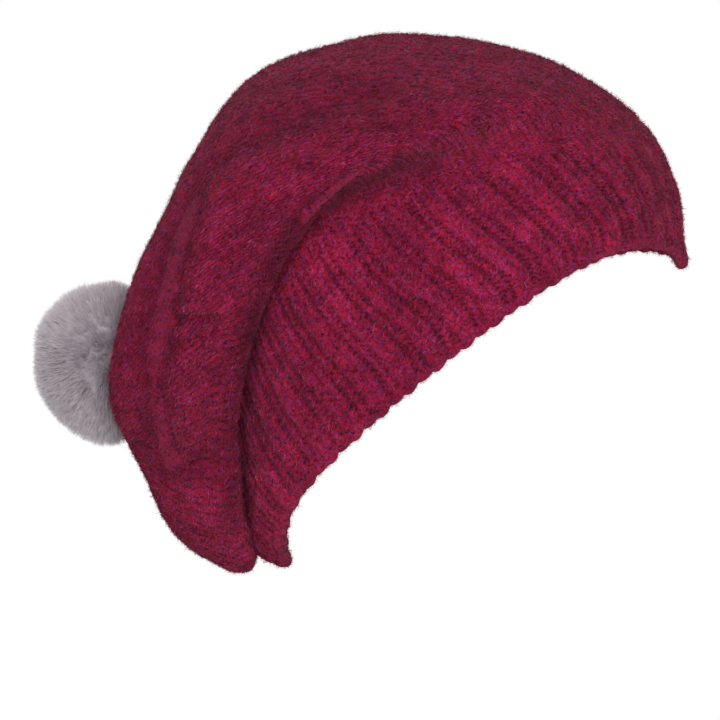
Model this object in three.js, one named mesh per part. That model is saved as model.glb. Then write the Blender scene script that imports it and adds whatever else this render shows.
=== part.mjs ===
// Slouchy knitted beret with a ribbed band and a fur pom-pom, in its worn shape.
// Millimetres. +Z up, +X towards the forehead, Y across the head.
// The origin is the middle of the head opening.
import * as THREE from 'three';

// ---- driving dimensions -------------------------------------------------
const KNIT = 4.5;              // thickness of the brushed knit
const SEAM_GAP = 0.007;        // gap between knitted panels, as a share of the way up the hat
const SOFTEN = 0.03;           // how far bends are eased along the way up
const PINCH = { at: 0.39, span: 0.05, by: 0.45 };      // knit squeezed thinner in the lip's bend
const EDGE_R = 2.2;            // radius of the rolled cast-on edge
const EDGE_AT = 0.002;         // where the roll sits, as a share of the way up
const AROUND = 48;             // facets round the head
const PEAK = { by: 4, span: 0.15, fade: 0.12 };        // the rim's dip at the forehead: mm, radians, share

// The hat is a set of loops, each carried from the forehead round the ear to the nape.
// at: share of the way from rim to crown centre; front, side, back: [x, z] of the loop;
// half: half width at the side; snapF, snapB: how sharply the loop rises at either end;
// level: how far it is flattened over the ear; full: how squarely it turns.
const LOOPS = [
  { name: 'rim', at: 0.00, front: [80, 65.5], side: [-15, 24], back: [-80.5, -60],
    half: 78, snapF: 1.2, snapB: 3.3, level: 0, full: 0.14 },
  { name: 'turn', at: 0.03, front: [78.6, 71], side: [-17, 31.5], back: [-88, -57.5],
    half: 79.3, snapF: 1.1, snapB: 2.7, level: 3, full: 0.14 },
  { name: 'band_mid', at: 0.12, front: [76.5, 87], side: [-22, 53], back: [-95, -42],
    half: 81.5, snapF: 0.8, snapB: 1.6, level: 12, full: 0.14 },
  { name: 'band_top', at: 0.24, front: [69, 107], side: [-30, 83], back: [-100, -22],
    half: 80, snapF: 0.2, snapB: 2, level: 30, full: 0.13 },
  { name: 'fold', at: 0.29, front: [63, 115], side: [-35, 91.5], back: [-106, -12],
    half: 80.5, snapF: 0, snapB: 2.2, level: 38, full: 0.11 },
  { name: 'lip', at: 0.37, front: [52, 124], side: [-39, 97.5], back: [-94, -55],
    half: 95, snapF: 0, snapB: 2.2, level: 50, full: 0.16 },
  { name: 'ridge', at: 0.50, front: [22, 142], side: [-62, 94], back: [-109, -58],
    half: 105, snapF: 0, snapB: 1.6, level: 45, full: 0.04 },
  { name: 'outer', at: 0.64, front: [-38, 150.5], side: [-100, 78], back: [-127, -42],
    half: 99, snapF: 0, snapB: 0.8, level: 20, full: 0.02 },
  { name: 'back', at: 0.78, front: [-102.5, 125], side: [-131, 53], back: [-134, -24],
    half: 80.5, snapF: 0, snapB: 0.3, level: 0, full: 0 },
  { name: 'brow', at: 0.88, front: [-125, 66], side: [-148, 20], back: [-137, -15],
    half: 56, snapF: 0, snapB: 0, level: 0, full: 0 },
  { name: 'dimple', at: 0.95, front: [-130, 46], side: [-135, 20.5], back: [-133, -4],
    half: 32, snapF: 0, snapB: 0, level: 0, full: 0 },
  { name: 'centre', at: 1.00, front: [-122, 24.5], side: [-122, 20.5], back: [-122, 16.5],
    half: 4, snapF: 0, snapB: 0, level: 0, full: 0 },
];

// Panels of the hat, as shares of the way from the rim to the centre of the crown.
const BAND_FROM = 0.0165, BAND_TO = 0.284, BAND_ROWS = 6;
const BAG_TO = 0.700, BAG_ROWS = 14;
const CROWN_TO = 0.996, CROWN_ROWS = 8;

// Pom-pom and its press stud, on an axis that points straight back from the crown centre.
const AXIS_Z = 20.5;           // height of the axis
const PATCH = { r: 13, from: -116.4, to: -117.9 };     // felt disc inside the crown
const GATHER = { r: 5.0, wire: 0.9, x: -121.0 };       // yarn drawn through the last stitches
const SOCKET_THREAD = { r: 2.8, hollow: 1.8, from: -119.2, to: -124.0 };
const SOCKET = { r: 7.5, from: -124.4, to: -126.6, bore: 2.3, depth: 1.4 };
const STUD = { r: 7.0, from: -127.1, to: -128.3, pin: 1.9, tip: -125.8 };
const CHAMFER = 0.5;           // on the stud's two halves
const SHANK = { r: 2.0, from: -128.6, to: -132.6 };
const BALL_X = -147.5;         // centre of the pom-pom
const STUFFING_R = 12.5;
const PELT = { inner: 13.0, outer: 14.4, neck: 4.6 };
const DRAW = { r: 6.4, wire: 0.8, x: -133.2 };         // drawstring round the pelt's neck
const FUR_R = 31;              // dense part of the fur
const FUR_SKIN = 15.0;         // hollow in the fur that the pelt fills
const FUR_CHEEK = [[30.3, -144.2], [27, -141], [22, -137.8], [16, -133.8]];  // [radius, x]
const FUR_THROAT = [9.0, -130.4];  // where the fur opens round the stud

// Blank care label inside the band at the nape, sewn along its top edge.
const LABEL = { wide: 24, tall: 26, thick: 0.9, top: [-93.2, -20.5], lean: 21 };
const STITCH = { wide: 22, wire: 1.2, above: 1.7 };    // the row of stitches just above it

// ---- materials ----------------------------------------------------------
const finish = (name, color, roughness) =>
  new THREE.MeshStandardMaterial({ name, color, roughness, metalness: 0 });
const wool = (name, color) => finish(name, color, 0.95);
const MAT = {
  band: wool('band_wool', 0x8e1f46),
  edge: wool('edge_wool', 0x7d1a3e),
  bag: wool('bag_wool', 0x861d42),
  crown: wool('crown_wool', 0x821c41),
  gather: wool('gather_yarn', 0x70163a),
  felt: wool('felt', 0x5a1430),
  thread: wool('sewing_thread', 0x4c1028),
  fur: finish('fur', 0x9a949b, 0.9),
  pelt: finish('pelt', 0x6f6a70, 0.85),
  fill: finish('fibre_fill', 0xe8e6e2, 1),
  plastic: finish('stud_plastic', 0x3a3a3d, 0.35),
  satin: finish('satin', 0xece9e2, 0.45),
};

const group = new THREE.Group();
group.name = 'slouchy_beret';

function add(name, geometry, material) {
  geometry.computeVertexNormals();
  const mesh = new THREE.Mesh(geometry, material);
  mesh.name = name;
  group.add(mesh);
}

// ---- surface of the hat -------------------------------------------------
const loopValues = (l) => [...l.front, ...l.side, ...l.back, l.half, l.snapF, l.snapB, l.level, l.full];
const AT = LOOPS.map((l) => l.at);
const VALUES = LOOPS.map(loopValues);
const SLOPES = VALUES.map((v, i) => v.map((_, k) => slopeAt(i, k)));

// Slope of value k at loop i, for a smooth curve through all the loops.
function slopeAt(i, k) {
  const step = (j) => (VALUES[j + 1][k] - VALUES[j][k]) / (AT[j + 1] - AT[j]);
  const inner = (j) => {
    const a = AT[j] - AT[j - 1], b = AT[j + 1] - AT[j];
    return (step(j - 1) * b + step(j) * a) / (a + b);
  };
  const last = AT.length - 1;
  if (i === 0) return 2 * step(0) - inner(1);
  if (i === last) return 2 * step(last - 1) - inner(last - 1);
  return inner(i);
}

// All loop values at a share s of the way up, with the bends eased.
function valuesAt(s) {
  const h = Math.min(SOFTEN, Math.max(s, 0), Math.max(1 - s, 0));
  const below = curveAt(s - h), here = curveAt(s), above = curveAt(s + h);
  return here.map((v, k) => (below[k] + 2 * v + above[k]) / 4);
}

// The smooth curve through the loops.
function curveAt(s) {
  let i = 0;
  while (i < AT.length - 2 && s >= AT[i + 1]) i += 1;
  const h = AT[i + 1] - AT[i];
  const t = (s - AT[i]) / h;
  const t2 = t * t, t3 = t2 * t;
  return VALUES[i].map((v, k) => (2 * t3 - 3 * t2 + 1) * v + (t3 - 2 * t2 + t) * h * SLOPES[i][k]
    + (3 * t2 - 2 * t3) * VALUES[i + 1][k] + (t3 - t2) * h * SLOPES[i + 1][k]);
}

// Outer surface: angle 0 is the forehead, PI the nape.
function surface(angle, s) {
  const [fx, fz, sx, sz, bx, bz, half, snapF, snapB, level, full] = valuesAt(s);
  const c = Math.cos(angle), sn = Math.sin(angle), q = sn * sn;
  const snap = snapF + (snapB - snapF) * (1 - c) / 2;
  const rise = (1 + snap) * q / (1 + snap * q);
  const mx = (fx + bx) / 2, mz = (fz + bz) / 2;
  const run = c * (1 + full * q);
  const turn = angle > Math.PI ? angle - 2 * Math.PI : angle;
  const peak = PEAK.by * Math.exp(-((turn / PEAK.span) ** 2)) * Math.max(0, 1 - s / PEAK.fade) ** 2;
  return new THREE.Vector3(
    mx + (fx - bx) / 2 * run + (sx - mx) * rise,
    half * sn * (1 + full * c * c),
    mz + (fz - bz) / 2 * run + (sz - mz) * rise - level * c * q - peak,
  );
}

// Directions at a point of the surface: up the hat, and straight out of it.
function frameAt(angle, s) {
  const e = 1e-4;
  const up = surface(angle, s + e).sub(surface(angle, s - e)).normalize();
  const round = surface(angle + e, s).sub(surface(angle - e, s));
  const out = round.cross(up).normalize();
  return { up, out };
}

const ANGLES = Array.from({ length: AROUND }, (_, i) => (2 * Math.PI * i) / AROUND);

// A closed ring-shaped solid from rows of points; the last row joins the first.
function ringSolid(rows) {
  const n = rows[0].length, m = rows.length;
  const index = [];
  for (let r = 0; r < m; r += 1) {
    for (let i = 0; i < n; i += 1) {
      const j = (i + 1) % n, t = (r + 1) % m;
      const a = r * n + i, b = r * n + j, c = t * n + j, d = t * n + i;
      index.push(a, b, c, a, c, d);
    }
  }
  const geometry = new THREE.BufferGeometry();
  geometry.setFromPoints(rows.flat());
  geometry.setIndex(index);
  return facesOut(geometry);
}

// Turns every face over when the solid is inside out.
function facesOut(geometry) {
  const p = geometry.getAttribute('position'), index = Array.from(geometry.getIndex().array);
  const [a, b, c] = [new THREE.Vector3(), new THREE.Vector3(), new THREE.Vector3()];
  let volume = 0;
  for (let i = 0; i < index.length; i += 3) {
    a.fromBufferAttribute(p, index[i]);
    b.fromBufferAttribute(p, index[i + 1]);
    c.fromBufferAttribute(p, index[i + 2]);
    volume += a.dot(b.cross(c));
  }
  if (volume < 0) {
    for (let i = 0; i < index.length; i += 3) [index[i + 1], index[i + 2]] = [index[i + 2], index[i + 1]];
    geometry.setIndex(index);
  }
  return geometry;
}

// Thickness of the knit: less where it is squeezed in the lip's bend.
const depthAt = (s) => KNIT * (1 - PINCH.by * Math.exp(-(((s - PINCH.at) / PINCH.span) ** 2)));

// A knitted panel between two shares of the way up.
function panel(from, to, rows) {
  const steps = Array.from({ length: rows + 1 }, (_, i) => from + (to - from) * i / rows);
  const row = (s, depth) => ANGLES.map((angle) =>
    surface(angle, s).addScaledVector(frameAt(angle, s).out, -depth));
  const outer = steps.map((s) => row(s, 0));
  const inner = steps.map((s) => row(s, depthAt(s))).reverse();
  return ringSolid([...outer, ...inner]);
}

// The cast-on edge: a soft roll that follows the rim.
function castOnEdge() {
  const sides = 6;
  const rows = Array.from({ length: sides }, (_, k) => {
    const turn = (2 * Math.PI * k) / sides;
    return ANGLES.map((angle) => {
      const { up, out } = frameAt(angle, EDGE_AT);
      return surface(angle, EDGE_AT)
        .addScaledVector(out, -KNIT / 2 + EDGE_R * Math.sin(turn))
        .addScaledVector(up, EDGE_R * Math.cos(turn));
    });
  });
  return ringSolid(rows);
}

// ---- turned pieces on the pom-pom's axis --------------------------------
// profile is a list of [radius, x]; the piece is turned about the axis and closed on it or itself.
function turned(profile, facets = 24) {
  const points = profile.map(([r, x]) => new THREE.Vector2(r, x));
  const geometry = new THREE.LatheGeometry(points, facets);
  geometry.rotateZ(-Math.PI / 2);            // lathe axis +Y becomes +X
  geometry.translate(0, 0, AXIS_Z);
  return facesOut(geometry);
}

const disc = (r, from, to) => turned([[0, from], [r, from], [r, to], [0, to], [0, from]]);

function torusOnAxis(r, wire, x) {
  const steps = 6;
  const profile = Array.from({ length: steps + 1 }, (_, i) => {
    const a = (2 * Math.PI * (i % steps)) / steps;
    return [r + wire * Math.cos(a), x + wire * Math.sin(a)];
  });
  return turned(profile);
}

function snapSocket() {
  const { r, from, to, bore, depth } = SOCKET;
  return turned([[0, from], [r, from], [r, to + CHAMFER], [r - CHAMFER, to], [bore, to],
    [bore, to + depth], [0, to + depth], [0, from]]);
}

function snapStud() {
  const { r, from, to, pin, tip } = STUD;
  return turned([[0, tip], [pin - CHAMFER, tip], [pin, tip - CHAMFER], [pin, from], [r, from],
    [r, to], [0, to], [0, tip]]);
}

function threadColumn({ r, hollow, from, to }) {
  return turned([[hollow, from], [r, from], [r, to], [hollow, to], [hollow, from]], 16);
}

// Arc of a circle round the ball's centre, from one angle to another, as [radius, x].
function arc(radius, from, to, steps) {
  return Array.from({ length: steps + 1 }, (_, i) => {
    const a = from + (to - from) * i / steps;
    return [Math.max(0, radius * Math.sin(a)), BALL_X - radius * Math.cos(a)];
  });
}

// The pelt: a skin drawn into a bag, open at its neck.
function peltBag() {
  const mouthIn = Math.PI - Math.asin(PELT.neck / PELT.inner);
  const mouthOut = Math.PI - Math.asin(PELT.neck / PELT.outer);
  const outside = arc(PELT.outer, 0, mouthOut, 10);
  const inside = arc(PELT.inner, mouthIn, 0, 10);
  return turned([...outside, ...inside, outside[0]]);
}

// The fur: dense pile, round at the back and drawn in to an open throat at the stud.
function furPile() {
  const throatIn = Math.PI - Math.asin(FUR_THROAT[0] / FUR_SKIN);
  const outside = arc(FUR_R, 0, Math.PI / 2, 9);
  const inside = arc(FUR_SKIN, throatIn, 0, 8);
  return turned([...outside, ...FUR_CHEEK, FUR_THROAT, ...inside, outside[0]], 32);
}

// ---- care label ---------------------------------------------------------
function labelBox(wide, tall, thick, along, inward) {
  const geometry = new THREE.BoxGeometry(thick, wide, tall, 1, 1, 1);
  geometry.translate(inward, 0, -tall / 2 - along);
  geometry.rotateY(-THREE.MathUtils.degToRad(LABEL.lean));
  geometry.translate(LABEL.top[0], 0, LABEL.top[1]);
  return geometry;
}

// ---- assembly -----------------------------------------------------------
add('cast_on_edge', castOnEdge(), MAT.edge);
add('ribbed_band', panel(BAND_FROM, BAND_TO, BAND_ROWS), MAT.band);
add('slouch_bag', panel(BAND_TO + SEAM_GAP, BAG_TO, BAG_ROWS), MAT.bag);
add('crown', panel(BAG_TO + SEAM_GAP, CROWN_TO, CROWN_ROWS), MAT.crown);
add('gather_yarn', torusOnAxis(GATHER.r, GATHER.wire, GATHER.x), MAT.gather);
add('inner_patch', disc(PATCH.r, PATCH.from, PATCH.to), MAT.felt);
add('socket_thread', threadColumn(SOCKET_THREAD), MAT.thread);
add('snap_socket', snapSocket(), MAT.plastic);
add('snap_stud', snapStud(), MAT.plastic);
add('pom_shank_thread', disc(SHANK.r, SHANK.from, SHANK.to), MAT.thread);
add('pom_stuffing', turned(arc(STUFFING_R, 0, Math.PI, 10)), MAT.fill);
add('pom_pelt', peltBag(), MAT.pelt);
add('pom_drawstring', torusOnAxis(DRAW.r, DRAW.wire, DRAW.x), MAT.thread);
add('pom_fur', furPile(), MAT.fur);
add('care_label', labelBox(LABEL.wide, LABEL.tall, LABEL.thick, 0, 0), MAT.satin);
add('label_stitching', labelBox(STITCH.wide, STITCH.wire, STITCH.wire, -STITCH.above, 0), MAT.thread);

export default group;
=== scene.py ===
import math

import bpy
import numpy as np
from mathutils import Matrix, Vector
from mathutils.kdtree import KDTree


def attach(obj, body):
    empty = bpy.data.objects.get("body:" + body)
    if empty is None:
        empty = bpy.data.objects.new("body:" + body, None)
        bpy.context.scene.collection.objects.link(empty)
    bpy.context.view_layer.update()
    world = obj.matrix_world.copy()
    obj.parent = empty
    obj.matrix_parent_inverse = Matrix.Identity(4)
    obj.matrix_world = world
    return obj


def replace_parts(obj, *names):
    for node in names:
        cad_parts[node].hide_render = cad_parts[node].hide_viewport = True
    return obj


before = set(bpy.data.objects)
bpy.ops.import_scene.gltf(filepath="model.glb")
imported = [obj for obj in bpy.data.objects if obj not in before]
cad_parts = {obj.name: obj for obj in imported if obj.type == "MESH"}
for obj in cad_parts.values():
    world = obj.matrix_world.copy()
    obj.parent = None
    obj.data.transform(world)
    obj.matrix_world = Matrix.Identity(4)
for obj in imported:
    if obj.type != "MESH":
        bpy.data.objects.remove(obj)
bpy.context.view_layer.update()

MM = 0.001
TURN = 2 * math.pi

# ---- driving dimensions -------------------------------------------------
KNIT = 4.5 * MM                 # thickness of the brushed knit
SOFTEN = 0.03                   # how far bends are eased along the way up
PINCH_AT, PINCH_SPAN, PINCH_BY = 0.39, 0.05, 0.45   # knit squeezed thinner in the lip's bend
# Where each panel starts and stops, and what is left between two, as shares of the way up.
BAND_FROM, BAND_TO, BAG_TO, CROWN_TO, PANEL_GAP = 0.006, 0.2865, 0.7025, 0.996, 0.0006
REPEATS = 42                    # 2 by 2 rib repeats round the rim
BAND_WALES = 4 * REPEATS
BAG_WALES = 200
BAND_ROWS, BAND_ROWS_TO = 27, 0.284      # rows of the rib, and the share of the way up they take
BAG_ROWS, CROWN_ROWS = 108, 150          # rows of plain knitting over the whole way up
# Columns round and rows up the fine mesh of each outer face, rows inside, sides of the edge.
BAND_GRID, BAG_GRID, CROWN_GRID = (BAND_WALES * 6, 150), (BAG_WALES * 5, 225), (760, 150)
INNER_ROWS, EDGE_SIDES = 50, 16
EDGE_AT = 0.002                 # where the cast-on edge sits, as a share of the way up
# The shade under the lip is painted into the colour of the band and the bag.
CREASE_PAINTED_DARK, CREASE_WIDE = 0.88, 9 * MM    # shade under the lip, and how far it reaches
RIB_HIGH, LINE_HIGH = 0.85, 0.7  # height of the ribs and of the lines on them, in millimetres
LEAN = 0.27                     # how far the ribs lean towards the crown, in radians
PEAK_BY, PEAK_SPAN, PEAK_FADE = 4 * MM, 0.15, 0.12    # the rim's dip at the forehead
TUCK_BY, TUCK_SPAN = 3.5 * MM, 0.28     # how far the lip is tucked in at the nape
AXIS_Z = 20.5 * MM              # height of the pom-pom's axis
BALL = Vector((-147.5 * MM, 0, AXIS_Z))

# Loops of the hat from the rim to the crown's centre, in millimetres: share of the way up,
# front x z, side x z, back x z, half width, sharpness in front and behind, level, fullness.
LOOPS = np.array([
    [0.00, 80, 65.5, -15, 24, -80.5, -60, 78, 1.2, 3.3, 0, .14],
    [0.03, 78.6, 71, -17, 31.5, -88, -57.5, 79.3, 1.1, 2.7, 3, .14],
    [0.12, 76.5, 87, -22, 53, -95, -42, 81.5, .8, 1.6, 12, .14],
    [0.24, 69, 107, -30, 83, -100, -22, 80, .2, 2, 30, .13],
    [0.29, 63, 115, -35, 91.5, -106, -12, 80.5, 0, 2.2, 38, .11],
    [0.37, 52, 124, -39, 97.5, -94, -55, 95, 0, 2.2, 50, .16],
    [0.50, 22, 142, -62, 94, -109, -58, 105, 0, 1.6, 45, .04],
    [0.64, -38, 150.5, -100, 78, -127, -42, 99, 0, .8, 20, .02],
    [0.78, -102.5, 125, -131, 53, -134, -24, 80.5, 0, .3, 0, 0],
    [0.88, -125, 66, -148, 20, -137, -15, 56, 0, 0, 0, 0],
    [0.95, -130, 46, -135, 20.5, -133, -4, 32, 0, 0, 0, 0],
    [1.00, -122, 24.5, -122, 20.5, -122, 16.5, 4, 0, 0, 0, 0],
])
AT, VALUES = LOOPS[:, 0], LOOPS[:, 1:].copy()
VALUES[:, [0, 1, 2, 3, 4, 5, 6, 9]] *= MM


# ---- surface of the hat -------------------------------------------------
def slopes():
    gap = np.diff(AT)[:, None]
    step = np.diff(VALUES, axis=0) / gap
    inner = (step[:-1] * gap[1:] + step[1:] * gap[:-1]) / (gap[1:] + gap[:-1])
    return np.vstack([2 * step[0] - inner[0], inner, 2 * step[-1] - inner[-1]])


SLOPES = slopes()


def curve_at(s):
    i = np.clip(np.searchsorted(AT, s, side="right") - 1, 0, len(AT) - 2)
    h = AT[i + 1] - AT[i]
    t = ((s - AT[i]) / h)[..., None]
    h = h[..., None]
    return ((2 * t**3 - 3 * t**2 + 1) * VALUES[i] + (t**3 - 2 * t**2 + t) * h * SLOPES[i]
            + (3 * t**2 - 2 * t**3) * VALUES[i + 1] + (t**3 - t**2) * h * SLOPES[i + 1])


def values_at(s):
    h = np.minimum(SOFTEN, np.minimum(np.maximum(s, 0), np.maximum(1 - s, 0)))
    return (curve_at(s - h) + 2 * curve_at(s) + curve_at(s + h)) / 4


def hat(angle, s):
    """Outer surface of the hat. Angle 0 is the forehead, pi the nape."""
    fx, fz, sx, sz, bx, bz, half, snap_f, snap_b, level, full = np.moveaxis(values_at(s), -1, 0)
    c, sn = np.cos(angle), np.sin(angle)
    q = sn * sn
    snap = snap_f + (snap_b - snap_f) * (1 - c) / 2
    rise = (1 + snap) * q / (1 + snap * q)
    mx, mz = (fx + bx) / 2, (fz + bz) / 2
    run = c * (1 + full * q)
    turn = np.mod(angle + math.pi, TURN) - math.pi
    peak = PEAK_BY * np.exp(-((turn / PEAK_SPAN) ** 2)) * np.clip(1 - s / PEAK_FADE, 0, 1) ** 2
    nape = (np.mod(angle, TURN) - math.pi) / TUCK_SPAN
    tuck = TUCK_BY * np.exp(-(nape**2)) * np.exp(-(((s - 0.37) / 0.05) ** 2))
    return np.stack([mx + (fx - bx) / 2 * run + (sx - mx) * rise + tuck,
                     half * sn * (1 + full * c * c),
                     mz + (fz - bz) / 2 * run + (sz - mz) * rise - level * c * q - peak], -1)


def unit(v):
    return v / np.maximum(np.linalg.norm(v, axis=-1, keepdims=True), 1e-12)


def hat_frame(angle, s):
    """Directions at points of the hat: round it, up it and straight out of it."""
    e = 1e-3
    round_ = unit(hat(angle + e, s) - hat(angle - e, s))
    up = unit(hat(angle, s + e) - hat(angle, s - e))
    return round_, up, unit(np.cross(round_, up))


# Equal steps along the rim, so that every stitch there is as wide as the next.
_a = np.linspace(0, TURN, 2881)
_rim = hat(_a, np.zeros_like(_a))
_run = np.concatenate([[0], np.cumsum(np.linalg.norm(np.diff(_rim, axis=0), axis=1))])


def angle_of(u, s):
    """Angle of the knitting column at share u of the way round, which leans towards the crown."""
    a = np.interp(np.mod(u, 1), _run / _run[-1], _a)
    return a + LEAN * smooth(s, 0, 0.26) * np.sin(a)


def smooth(x, lo, hi):
    t = np.clip((x - lo) / (hi - lo), 0, 1)
    return t * t * (3 - 2 * t)


# ---- noise and folds ----------------------------------------------------
def waves(p, size, seed, count=9):
    """Smooth noise from -1 to 1 at points p, with bumps of about this size."""
    r = np.random.default_rng(seed)
    k = unit(r.normal(size=(count, 3))) * (TURN / size) * r.uniform(0.6, 1.5, (count, 1))
    return np.sin(p @ k.T + r.uniform(0, TURN, count)).sum(-1) / math.sqrt(count * 1.2)


# Soft folds of the bag: side of the head (-1 or 1), depth, width, then [x, z] along the fold.
# FOLD_GAIN is how much deeper than listed they are pressed.
FOLD_GAIN = 1.5
FOLDS = [
    (-1, 2.6, 6.0, [[-113, 95], [-96, 107], [-76, 117], [-44, 127]]),
    (-1, 2.4, 5.0, [[-46, 115], [-34, 113], [-23, 110]]),
    (-1, 3.6, 4.5, [[-68, 76], [-60, 82], [-50, 89], [-40, 94]]),
    (-1, 1.8, 3.2, [[-125, 34], [-116, 37], [-108, 38]]),
    (-1, 1.6, 3.0, [[-122, 25], [-114, 29], [-105, 34]]),
    (-1, 0.8, 5.5, [[-126, -21], [-116, -19], [-105, -18]]),
    (-1, 3.6, 8.5, [[-118, 84], [-125, 58], [-130, 30], [-132, 5], [-126, -20]]),
    (-1, 1.4, 6.0, [[-112, -30], [-109, -5], [-106, 20]]),
    (1, 2.8, 6.5, [[-66, 100], [-48, 108], [-28, 108]]),
    (1, 2.4, 6.0, [[-112, 86], [-92, 102], [-62, 116]]),
    (1, 1.7, 3.6, [[-124, 18], [-113, 24], [-104, 27]]),
    (1, 4.6, 7.5, [[-122, 66], [-127, 34], [-129, 8], [-125, -16]]),
]


# The crease where the bag turns down over the band, as seen from either side: [x, z] along it.
CREASE = [[-92, -54], [-99, -42], [-100, -30], [-99, -4], [-94, 27], [-87, 49], [-76, 70],
          [-60, 83], [-40, 93], [-22, 98]]
# Half width of the crease, its dip, and how much shade is painted along it.
CREASE_HALF, CREASE_DIP, CREASE_PAINTED_SHADE = 5.2 * MM, 1.2 * MM, 0.52
CREASE_FADE_FRONT, CREASE_FADE_LOW = 0.55, 0.40     # how far it fades forwards and low down


def near_line(x, z, line):
    """Distance from points to a polyline in the side view."""
    best = np.full(x.shape, 9.0)
    for (ax, az), (bx, bz) in zip(line[:-1], line[1:]):
        dx, dz = bx - ax, bz - az
        t = np.clip(((x - ax) * dx + (z - az) * dz) / (dx * dx + dz * dz), 0, 1)
        best = np.minimum(best, np.hypot(x - ax - t * dx, z - az - t * dz))
    return best


def crease(p):
    """From 0 to 1, how much of the crease's painted shade and dip falls on points p."""
    d = near_line(p[..., 0], p[..., 2], np.array(CREASE) * MM) / CREASE_HALF
    front = smooth(p[..., 0], -60 * MM, -15 * MM)
    low = smooth(-p[..., 2], -30 * MM, 20 * MM)
    fade = 1 - CREASE_FADE_FRONT * front - CREASE_FADE_LOW * low
    return np.exp(-d * d) * fade * smooth(np.abs(p[..., 1]), 15 * MM, 40 * MM)


def folds(p, n, s):
    """How far the cloth is drawn in at points p, where it faces away from the head."""
    total = np.zeros(p.shape[:-1])
    for side, depth, width, line in FOLDS:
        d = near_line(p[..., 0], p[..., 2], np.array(line) * MM) / (width * MM)
        shown = smooth(n[..., 1] * side, 0.05, 0.5) * smooth(s, 0.36, 0.42)
        total += FOLD_GAIN * depth * MM * np.exp(-d * d) * shown
    return total


# ---- knitting -----------------------------------------------------------
def band_rows(s):
    return s * BAND_ROWS / BAND_ROWS_TO


def vee(w, v):
    """Height from 0 to 1 of a plain knitted face at wale w and row v."""
    a = np.abs(np.mod(w, 1) - 0.5)
    leg = np.sin(math.pi * np.mod(v - 1.2 * a, 1)) ** 0.7
    side = np.cos(math.pi * a) ** 0.6 * (1 - 0.25 * np.exp(-((a / 0.08) ** 2)))
    return (0.35 + 0.65 * leg) * side


def purl(w, v):
    """Height from 0 to 1 of the reverse face."""
    a = np.mod(w, 1) - 0.5
    return np.sin(math.pi * np.mod(v + 0.25 * np.cos(TURN * a), 1)) ** 0.7


def rib(u):
    """From 0 in the two purl wales of a repeat to 1 on the crest of the two knit wales."""
    return (0.5 + 0.5 * np.sin(TURN * u * REPEATS + 0.8)) ** 1.4


def wale_lines(u):
    """Narrow raised lines along the ribs, three to a repeat, from 0 to 1."""
    return (0.5 + 0.5 * np.cos(TURN * u * REPEATS * 3)) ** 1.6


def band_relief(u, s, jitter):
    v = band_rows(s) + 0.18 * jitter
    w = u * BAND_WALES + 0.12 * jitter
    r = rib(u + 0.0004 * jitter)
    stitch = r * vee(w, v) + (1 - r) * purl(w, v)
    end = smooth(s, 0.20, 0.30)
    ribs = RIB_HIGH * (r - 0.5) + LINE_HIGH * (wale_lines(u + 0.0004 * jitter) - 0.4)
    return ((1 - 0.8 * end) * ribs + 0.8 * (stitch - 0.5)) * MM


def plain_relief(u, s, jitter, wales, rows):
    """Plain knitting, with this many wales round and rows up the whole hat."""
    stitch = vee(u * wales + 0.15 * jitter, s * rows + 0.22 * jitter)
    return 1.15 * (stitch - 0.5) * MM


def bag_relief(u, s, jitter):
    start = 1 - smooth(s, BAND_TO, 0.34)
    out = plain_relief(u, s, jitter, BAG_WALES, BAG_ROWS)
    return out * (1 - 0.6 * start) + start * 0.2 * RIB_HIGH * (rib(u) - 0.5) * MM


# The crown's shaping: where each step starts, and how many wales are left.
CROWN_STEPS = [(0.70, 200), (0.775, 160), (0.835, 120), (0.885, 80), (0.925, 56), (0.96, 32)]


def crown_relief(u, s, jitter):
    out = np.zeros_like(u)
    for i, (start, wales) in enumerate(CROWN_STEPS):
        stop = CROWN_STEPS[i + 1][0] if i + 1 < len(CROWN_STEPS) else 2
        near = smooth(s, start - 0.012, start + 0.012) if i else np.ones_like(s)
        near = near * (1 - smooth(s, stop - 0.012, stop + 0.012))
        out += near * plain_relief(u, s, jitter, wales, CROWN_ROWS)
    return out


def inside_relief(u, s):
    r = rib(u) * (1 - smooth(s, 0.26, 0.31))
    stitch = purl(u * BAND_WALES, band_rows(s))
    return (0.6 * (r - 0.5) + 0.55 * (stitch - 0.5)) * MM


def depth_at(s):
    return KNIT * (1 - PINCH_BY * np.exp(-(((s - PINCH_AT) / PINCH_SPAN) ** 2)))


def stitch_jitter(p):
    """How far the stitches wander from their places at points p."""
    return waves(p, 11 * MM, 3) + 0.6 * waves(p, 4.5 * MM, 4)


# ---- meshes -------------------------------------------------------------
UNEVEN = ((0.55, 34, 5), (0.22, 9, 6), (0.10, 2.6, 7))  # bumps: height, size in mm, random seed
WALL_STEPS = (0.2, 0.5, 0.8)    # rows of an end wall, as shares of the knit's thickness
# End walls and inner faces take a fixed stitch height, and so a fixed painted shade between stitches.
WALL_HEIGHT, INSIDE_HEIGHT = 0.3, 0.5    # stitch height that the colour takes there


def fill_mesh(name, co, quads, attrs=None):
    me = bpy.data.meshes.new(name)
    me.vertices.add(len(co))
    me.vertices.foreach_set("co", np.ascontiguousarray(co, np.float32).ravel())
    me.loops.add(quads.size)
    me.loops.foreach_set("vertex_index", np.ascontiguousarray(quads, np.int32).ravel())
    me.polygons.add(len(quads))
    me.polygons.foreach_set("loop_start", np.arange(0, quads.size, quads.shape[1], dtype=np.int32))
    me.update(calc_edges=True)
    me.shade_smooth()
    for key, values in (attrs or {}).items():
        layer = me.attributes.new(key, "FLOAT", "POINT")
        layer.data.foreach_set("value", np.ascontiguousarray(values, np.float32).ravel())
    return me


def piece(name, me, mat, body):
    ob = bpy.data.objects.new(name, me)
    bpy.context.scene.collection.objects.link(ob)
    me.materials.append(mat)
    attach(ob, body)
    return ob


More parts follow.
